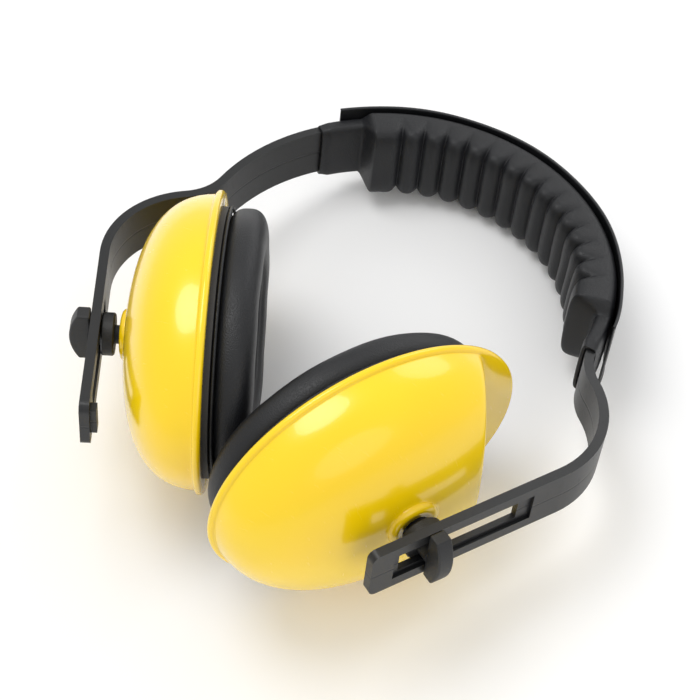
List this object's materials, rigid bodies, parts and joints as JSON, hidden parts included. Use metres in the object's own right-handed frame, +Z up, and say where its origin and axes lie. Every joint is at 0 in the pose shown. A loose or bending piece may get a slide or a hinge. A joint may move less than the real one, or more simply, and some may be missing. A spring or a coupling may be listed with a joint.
{
  "type": "ear defenders",
  "caption": "Ear defenders with a sprung headband, a padded sleeve on the crown, and two oval domed cups with soft cushions that slide in slotted arms and swivel on ball studs.",
  "frame": {"origin": "on the floor, under the middle of the bounding box, with the ear defenders lying on their side", "axes": "+X towards the right cup, +Y from the cups towards the crown of the headband, +Z up from the floor"},
  "size_m": [0.1938, 0.2126, 0.095],
  "materials": {
    "band": "satin",
    "knob": "satin",
    "shell": "gloss",
    "hard_inner": "matte",
    "nylon": "satin",
    "foam": "matte",
    "soft_skin": "satin",
    "cover": "satin"
  },
  "bodies": {
    "headband": {"headband": "band"},
    "sleeve": {"pad_cover": "cover", "pad_skin": "soft_skin", "pad_foam": "foam"},
    "slider_left": {"washer_left": "knob"},
    "stud_left": {"stud_left": "knob"},
    "liner_left": {"ball_liner_left": "nylon"},
    "cup_left": {"cup_shell_left": "shell", "seat_cap_left": "hard_inner", "foam_insert_left": "foam", "cushion_plate_left": "hard_inner", "cushion_foam_left": "foam", "cushion_skin_left": "soft_skin"},
    "slider_right": {"washer_right": "knob"},
    "stud_right": {"stud_right": "knob"},
    "liner_right": {"ball_liner_right": "nylon"},
    "cup_right": {"cup_shell_right": "shell", "seat_cap_right": "hard_inner", "foam_insert_right": "foam", "cushion_plate_right": "hard_inner", "cushion_foam_right": "foam", "cushion_skin_right": "soft_skin"}
  },
  "joints": [
    {"name": "sleeve_slide", "type": "hinge", "parent": "headband", "child": "sleeve", "pos_m": [0, 0.02527, 0.03222], "axis": [-0.0385, -0.2051, -0.978], "range_deg": [-43, 5]},
    {"name": "arm_slide_left", "type": "slide", "parent": "headband", "child": "slider_left", "axis": [0.4936, -0.8549, 0.1599], "range_m": [-0.0096, 0.0015]},
    {"name": "stud_turn_left", "type": "hinge", "parent": "slider_left", "child": "stud_left", "pos_m": [-0.07539, -0.05431, 0.05188], "axis": [-0.8688, -0.4765, 0.1342], "range_deg": [-90, 90]},
    {"name": "cup_swing_left", "type": "hinge", "parent": "stud_left", "child": "liner_left", "pos_m": [-0.06323, -0.04763, 0.05], "axis": [-0.0385, -0.2051, -0.978], "range_deg": [-6, 8]},
    {"name": "cup_tilt_left", "type": "hinge", "parent": "liner_left", "child": "cup_left", "pos_m": [-0.06323, -0.04763, 0.05], "axis": [-0.463, 0.871, -0.1644], "range_deg": [-8, 8]},
    {"name": "arm_slide_right", "type": "slide", "parent": "headband", "child": "slider_right", "axis": [-0.4936, -0.8471, 0.1971], "range_m": [-0.027, 0.0081]},
    {"name": "stud_turn_right", "type": "hinge", "parent": "slider_right", "child": "stud_right", "pos_m": [0.06572, -0.0721, 0.05005], "axis": [0.8688, -0.4903, 0.0686], "range_deg": [-90, 90]},
    {"name": "cup_swing_right", "type": "hinge", "parent": "stud_right", "child": "liner_right", "pos_m": [0.05355, -0.06524, 0.04909], "axis": [0.0385, 0.2051, 0.978], "range_deg": [-3, 8]},
    {"name": "cup_tilt_right", "type": "hinge", "parent": "liner_right", "child": "cup_right", "pos_m": [0.05355, -0.06524, 0.04909], "axis": [0.4844, 0.8522, -0.1978], "range_deg": [-8, 8]}
  ]
}
